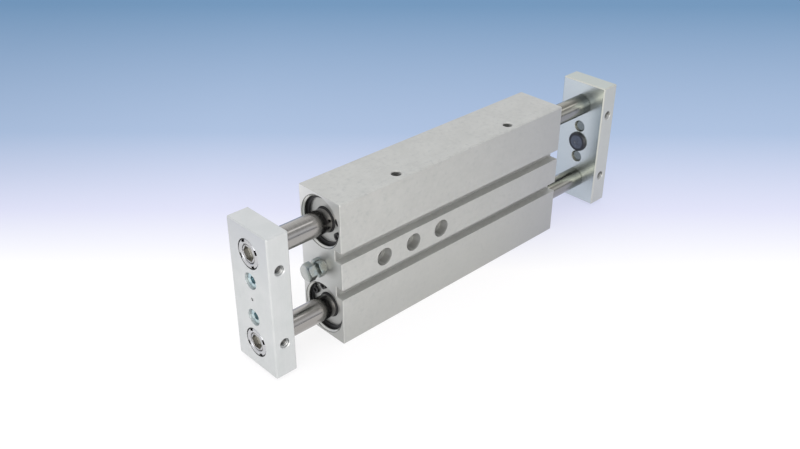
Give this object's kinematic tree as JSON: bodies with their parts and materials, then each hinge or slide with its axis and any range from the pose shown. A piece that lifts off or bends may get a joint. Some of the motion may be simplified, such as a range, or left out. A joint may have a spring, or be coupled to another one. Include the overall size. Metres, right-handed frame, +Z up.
{
  "type": "guided pneumatic cylinder",
  "caption": "Twin-piston guided pneumatic cylinder: an extruded housing with two through rods joined by an end plate at each end, and a stop screw that limits the stroke.",
  "frame": {"origin": "middle of the housing's underside, half way along the housing", "axes": "+X along the rods from the stop screw's end plate to the other one, +Y across the narrow housing away from its sensor slots, +Z up towards the air ports"},
  "size_m": [0.213, 0.025, 0.066],
  "materials": {
    "housing_aluminium": "satin clear anodised",
    "plate_aluminium": "fine satin",
    "rod_steel": "ground and polished",
    "zinc_steel": "zinc plated",
    "nut_steel": "bright",
    "spring_steel": "blackened",
    "seal_rubber": "matt",
    "bumper_polymer": "satin",
    "cap_aluminium": "turned",
    "bush_bronze": "sintered",
    "magnet": "bonded magnet"
  },
  "bodies": {
    "cylinder": {"bearing_cap_front_lower": "cap_aluminium", "bearing_cap_front_upper": "cap_aluminium", "bearing_cap_rear_lower": "cap_aluminium", "bearing_cap_rear_upper": "cap_aluminium", "cap_seal_ring_front_lower": "seal_rubber", "cap_seal_ring_front_upper": "seal_rubber", "cap_seal_ring_rear_lower": "seal_rubber", "cap_seal_ring_rear_upper": "seal_rubber", "circlip_front_lower": "spring_steel", "circlip_front_upper": "spring_steel", "circlip_rear_lower": "spring_steel", "circlip_rear_upper": "spring_steel", "guide_bush_front_lower": "bush_bronze", "guide_bush_front_upper": "bush_bronze", "guide_bush_rear_lower": "bush_bronze", "guide_bush_rear_upper": "bush_bronze", "housing": "housing_aluminium", "passage_plugs": "zinc_steel", "rod_seal_front_lower": "seal_rubber", "rod_seal_front_upper": "seal_rubber", "rod_seal_rear_lower": "seal_rubber", "rod_seal_rear_upper": "seal_rubber", "wiper_front_lower": "seal_rubber", "wiper_front_upper": "seal_rubber", "wiper_rear_lower": "seal_rubber", "wiper_rear_upper": "seal_rubber"},
    "rod_assembly": {"bumper_front": "bumper_polymer", "bumper_rear": "bumper_polymer", "piston_clips_lower": "spring_steel", "piston_clips_upper": "spring_steel", "piston_inner_ring_lower": "seal_rubber", "piston_inner_ring_upper": "seal_rubber", "piston_lower": "cap_aluminium", "piston_magnet_lower": "magnet", "piston_magnet_upper": "magnet", "piston_rod_lower": "rod_steel", "piston_rod_upper": "rod_steel", "piston_seals_lower": "seal_rubber", "piston_seals_upper": "seal_rubber", "piston_upper": "cap_aluminium", "plate_screw_front_lower": "zinc_steel", "plate_screw_front_upper": "zinc_steel", "plate_screw_rear_lower": "zinc_steel", "plate_screw_rear_upper": "zinc_steel", "rod_nut_front_lower": "nut_steel", "rod_nut_front_upper": "nut_steel", "rod_nut_rear_lower": "nut_steel", "rod_nut_rear_upper": "nut_steel", "yoke_plate_front": "plate_aluminium", "yoke_plate_rear": "plate_aluminium"},
    "stop_adjuster": {"stop_screw": "zinc_steel"},
    "lock_nut": {"stop_lock_nut": "zinc_steel"}
  },
  "joints": [
    {"name": "rod_slide", "type": "slide", "parent": "cylinder", "child": "rod_assembly", "axis": [1, 0, 0], "range_m": [-0.0323, 0.0144]},
    {"name": "stop_screw_adjust", "type": "slide", "parent": "cylinder", "child": "stop_adjuster", "axis": [1, 0, 0], "range_m": [0, 0.0016]},
    {"name": "lock_nut_turn", "type": "hinge", "parent": "cylinder", "child": "lock_nut", "pos_m": [-0.06925, 0, 0.033], "axis": [1, 0, 0], "range_deg": [-180, 0]}
  ]
}
